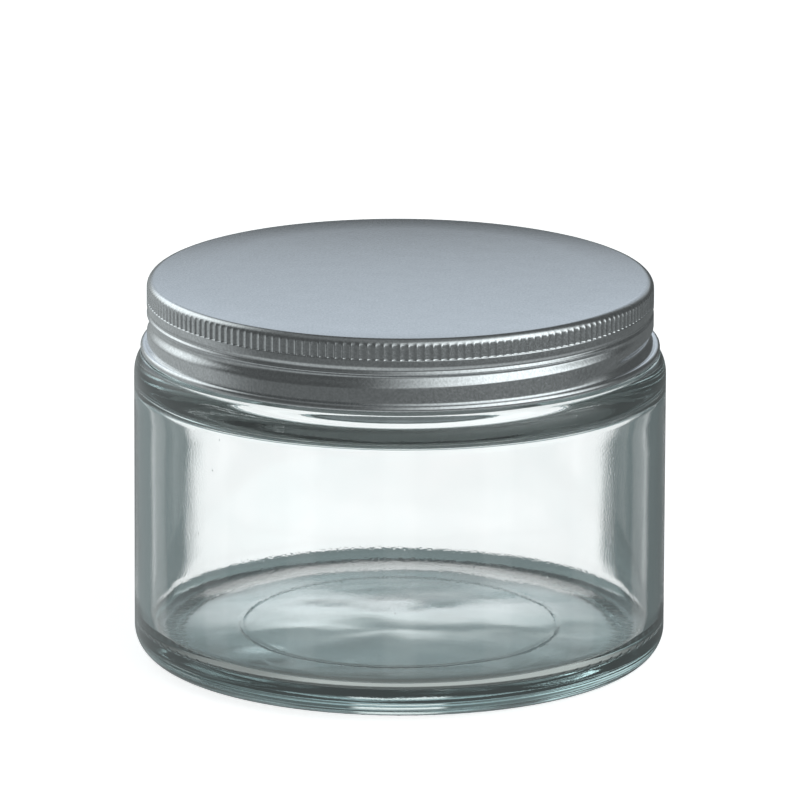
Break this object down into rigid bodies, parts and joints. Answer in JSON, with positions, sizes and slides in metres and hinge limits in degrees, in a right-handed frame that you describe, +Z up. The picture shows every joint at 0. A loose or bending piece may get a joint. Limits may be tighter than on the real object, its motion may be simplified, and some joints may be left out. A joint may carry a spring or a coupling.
{
  "type": "empty candle jar",
  "caption": "Low wide clear glass jar with a rounded shoulder, raised base and a screw-on aluminium lid with a knurled grip band and foam liner.",
  "frame": {"origin": "centre of the base, on the plane of the ring that the jar stands on", "axes": "+Z up along the jar's axis, -Y to the front of the jar, where the lid's thread starts under its grip band"},
  "size_m": [0.1, 0.1, 0.0723],
  "materials": {
    "glass": "clear moulded soda-lime glass with a slight grey-green cast",
    "aluminium": "satin drawn aluminium under a clear lacquer",
    "liner": "white foamed polyethylene"
  },
  "bodies": {
    "jar": {"glass_jar": "glass"},
    "liner": {"lid_liner": "liner"},
    "lid": {"lid_shell": "aluminium"}
  },
  "joints": [
    {"name": "lid_rise", "type": "slide", "parent": "jar", "child": "liner", "axis": [0, 0, 1], "range_m": [0, 0.0212]},
    {"name": "lid_turn", "type": "hinge", "parent": "liner", "child": "lid", "pos_m": [0, 0, 0.065], "axis": [0, 0, 1], "range_deg": [0, 1800]}
  ],
  "couplings": [
    {"joint": "lid_rise", "follows": "lid_turn", "m_per_rad": 0.00067322}
  ]
}
